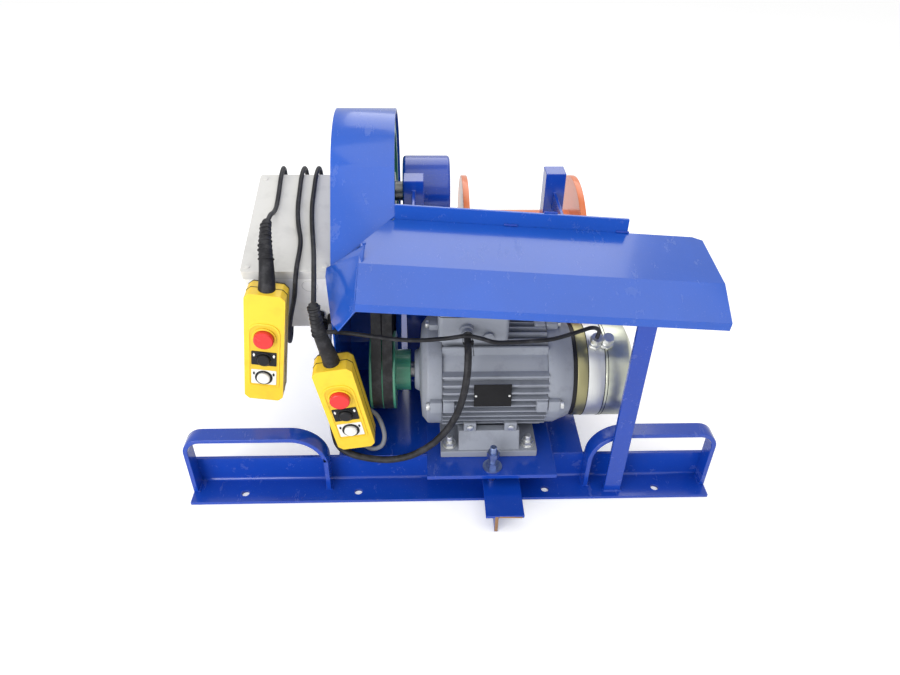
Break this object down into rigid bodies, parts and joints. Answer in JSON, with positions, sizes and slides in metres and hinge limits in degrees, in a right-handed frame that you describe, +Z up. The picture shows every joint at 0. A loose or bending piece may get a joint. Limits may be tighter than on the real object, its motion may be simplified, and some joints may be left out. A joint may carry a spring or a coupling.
{
  "type": "electric rope winch",
  "caption": "Electric rope winch on a low steel base: braked motor, V-belts, gearbox, drum, sheet guards, switch cabinet and hand pendants.",
  "frame": {"origin": "centre of the outer rectangle of anchor holes, on the floor that the base stands on", "axes": "+X along the front rail towards the motor's brake, +Y from the front rail to the rear rail, +Z up"},
  "size_m": [0.932, 0.83, 0.5817],
  "materials": {
    "blue_enamel": "glossy",
    "grey_enamel": "satin",
    "orange_enamel": "glossy",
    "green_enamel": "satin",
    "yellow_zinc": "satin",
    "zinc_steel": "satin",
    "bare_steel": "satin",
    "silver_aluminium": "satin",
    "black_rubber": "matte",
    "grey_sheath": "matte",
    "black_plastic": "satin",
    "white_plastic": "satin",
    "yellow_plastic": "satin",
    "red_plastic": "glossy"
  },
  "bodies": {
    "base": {"bearing_block": "blue_enamel", "bearing_pedestal": "blue_enamel", "belt_guard": "blue_enamel", "brake_cable": "black_rubber", "brake_coil": "silver_aluminium", "brake_cover": "grey_enamel", "brake_glands": "black_plastic", "brake_ring": "yellow_zinc", "brake_seal": "black_rubber", "cabinet_body": "white_plastic", "cabinet_glands": "black_plastic", "cabinet_lid": "white_plastic", "centre_beam": "blue_enamel", "coil_1": "black_rubber", "coil_2": "black_rubber", "cord_1": "black_rubber", "cord_2": "black_rubber", "deck_plate": "blue_enamel", "drive_end_shield": "grey_enamel", "earth_lead": "grey_sheath", "front_rail": "blue_enamel", "gearbox_housing": "blue_enamel", "guard_bar": "blue_enamel", "guard_posts": "blue_enamel", "guard_strut": "blue_enamel", "hinge_lugs": "blue_enamel", "hinge_pin": "bare_steel", "lifting_handles": "blue_enamel", "motor_bearings": "bare_steel", "motor_cable": "black_rubber", "motor_fasteners": "zinc_steel", "motor_feet": "grey_enamel", "motor_glands": "black_plastic", "motor_guard": "blue_enamel", "motor_plate": "blue_enamel", "pendant_1_case": "yellow_plastic", "pendant_1_sleeve": "black_rubber", "pendant_2_case": "yellow_plastic", "pendant_2_sleeve": "black_rubber", "rear_end_shield": "grey_enamel", "rear_rail": "blue_enamel", "side_member_left": "blue_enamel", "side_member_right": "blue_enamel", "stator_housing": "grey_enamel", "tension_bolt": "zinc_steel", "terminal_box": "grey_enamel", "v_belts": "black_rubber"},
    "rotor": {"rotor_shaft": "bare_steel", "motor_pulley": "green_enamel", "brake_disc": "bare_steel"},
    "input": {"driven_pulley": "green_enamel", "input_shaft": "bare_steel"},
    "drum": {"drum": "orange_enamel", "drum_shaft": "bare_steel"},
    "pendant_1_stop": {"pendant_1_stop_button": "red_plastic"},
    "pendant_1_raise": {"pendant_1_raise_button": "black_plastic"},
    "pendant_1_lower": {"pendant_1_lower_button": "white_plastic"},
    "pendant_2_stop": {"pendant_2_stop_button": "red_plastic"},
    "pendant_2_raise": {"pendant_2_raise_button": "black_plastic"},
    "pendant_2_lower": {"pendant_2_lower_button": "white_plastic"}
  },
  "joints": [
    {"name": "rotor_spin", "type": "hinge", "parent": "base", "child": "rotor", "pos_m": [0, -0.228, 0.183], "axis": [1, 0, 0], "continuous": true},
    {"name": "input_spin", "type": "hinge", "parent": "base", "child": "input", "pos_m": [0, -0.01588, 0.43579], "axis": [1, 0, 0], "continuous": true},
    {"name": "drum_spin", "type": "hinge", "parent": "base", "child": "drum", "pos_m": [0, 0.07, 0.25], "axis": [1, 0, 0], "continuous": true},
    {"name": "pendant_1_stop_press", "type": "slide", "parent": "base", "child": "pendant_1_stop", "axis": [0, 1, 0], "range_m": [0, 0.004]},
    {"name": "pendant_1_raise_press", "type": "slide", "parent": "base", "child": "pendant_1_raise", "axis": [0, 1, 0], "range_m": [0, 0.004], "stiffness_N_per_m": 500, "springref_m": -0.002},
    {"name": "pendant_1_lower_press", "type": "slide", "parent": "base", "child": "pendant_1_lower", "axis": [0, 1, 0], "range_m": [0, 0.004], "stiffness_N_per_m": 500, "springref_m": -0.002},
    {"name": "pendant_2_stop_press", "type": "slide", "parent": "base", "child": "pendant_2_stop", "axis": [-0.0124, 0.9969, 0.0776], "range_m": [0, 0.004]},
    {"name": "pendant_2_raise_press", "type": "slide", "parent": "base", "child": "pendant_2_raise", "axis": [-0.0124, 0.9969, 0.0776], "range_m": [0, 0.004], "stiffness_N_per_m": 500, "springref_m": -0.002},
    {"name": "pendant_2_lower_press", "type": "slide", "parent": "base", "child": "pendant_2_lower", "axis": [-0.0124, 0.9969, 0.0776], "range_m": [0, 0.004], "stiffness_N_per_m": 500, "springref_m": -0.002}
  ],
  "couplings": [
    {"joint": "input_spin", "follows": "rotor_spin", "ratio": 0.52964},
    {"joint": "drum_spin", "follows": "rotor_spin", "ratio": 0.042372}
  ]
}
